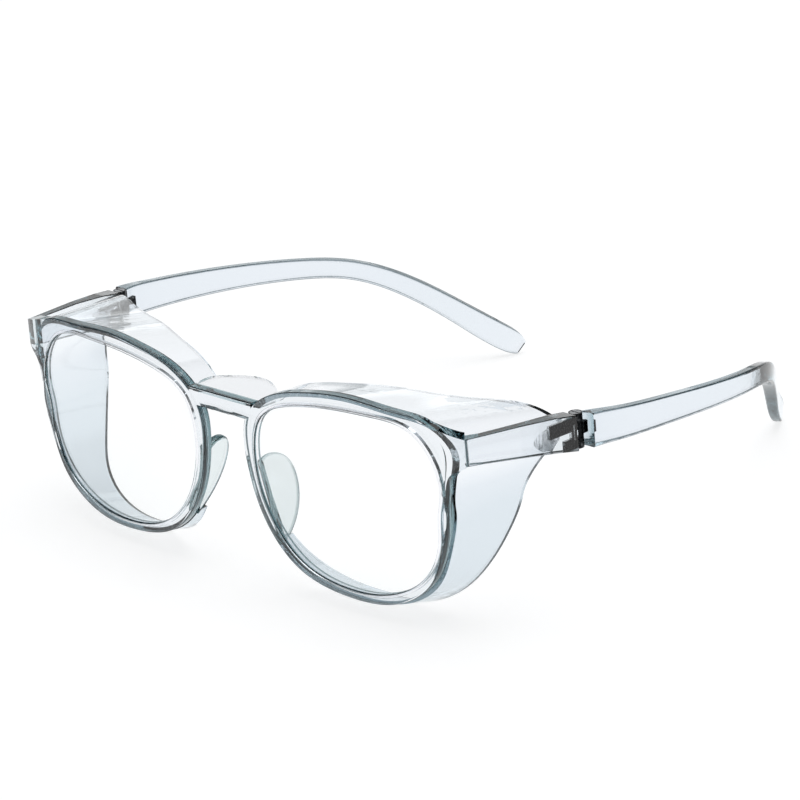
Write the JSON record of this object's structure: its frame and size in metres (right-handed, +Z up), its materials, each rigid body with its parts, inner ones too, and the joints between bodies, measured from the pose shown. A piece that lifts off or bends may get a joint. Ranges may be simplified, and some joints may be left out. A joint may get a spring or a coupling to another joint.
{
  "type": "safety glasses",
  "caption": "Clear moulded safety glasses with rounded-square lenses, wrap-round top, side and lower shields, nose pads and hinged temples with curved ear ends.",
  "frame": {"origin": "centre of the bounding box's base, on the flat surface that the open glasses stand on", "axes": "+Z up, the front faces -Y, the temples run to +Y, +X is the wearer's left"},
  "size_m": [0.1482, 0.1317, 0.0484],
  "materials": {
    "clear_frame": "clear glossy moulded plastic with a cool blue-grey cast",
    "clear_lens": "clear, colourless, polished and coated",
    "clear_shield": "thin clear glossy plastic, pale blue-grey",
    "clear_pad": "clear, slightly satin, smooth",
    "clear_temple": "clear glossy moulded plastic",
    "hinge_metal": "dark nickel, fine knurl on the tangs",
    "screw_metal": "turned steel, slotted head"
  },
  "bodies": {
    "front": {"front_frame": "clear_frame", "left_lens": "clear_lens", "right_lens": "clear_lens", "left_shield": "clear_shield", "right_shield": "clear_shield", "left_nose_pad": "clear_pad", "right_nose_pad": "clear_pad", "left_front_hinge": "hinge_metal", "right_front_hinge": "hinge_metal", "left_hinge_screw": "screw_metal", "right_hinge_screw": "screw_metal"},
    "left_arm": {"left_temple": "clear_temple", "left_temple_hinge": "hinge_metal"},
    "right_arm": {"right_temple": "clear_temple", "right_temple_hinge": "hinge_metal"}
  },
  "joints": [
    {"name": "left_temple_fold", "type": "hinge", "parent": "front", "child": "left_arm", "pos_m": [0.0698, -0.03087, 0.03317], "axis": [0, 0.0162, 0.9999], "range_deg": [0, 84]},
    {"name": "right_temple_fold", "type": "hinge", "parent": "front", "child": "right_arm", "pos_m": [-0.0698, -0.03087, 0.03317], "axis": [0, -0.0162, -0.9999], "range_deg": [0, 74]}
  ]
}
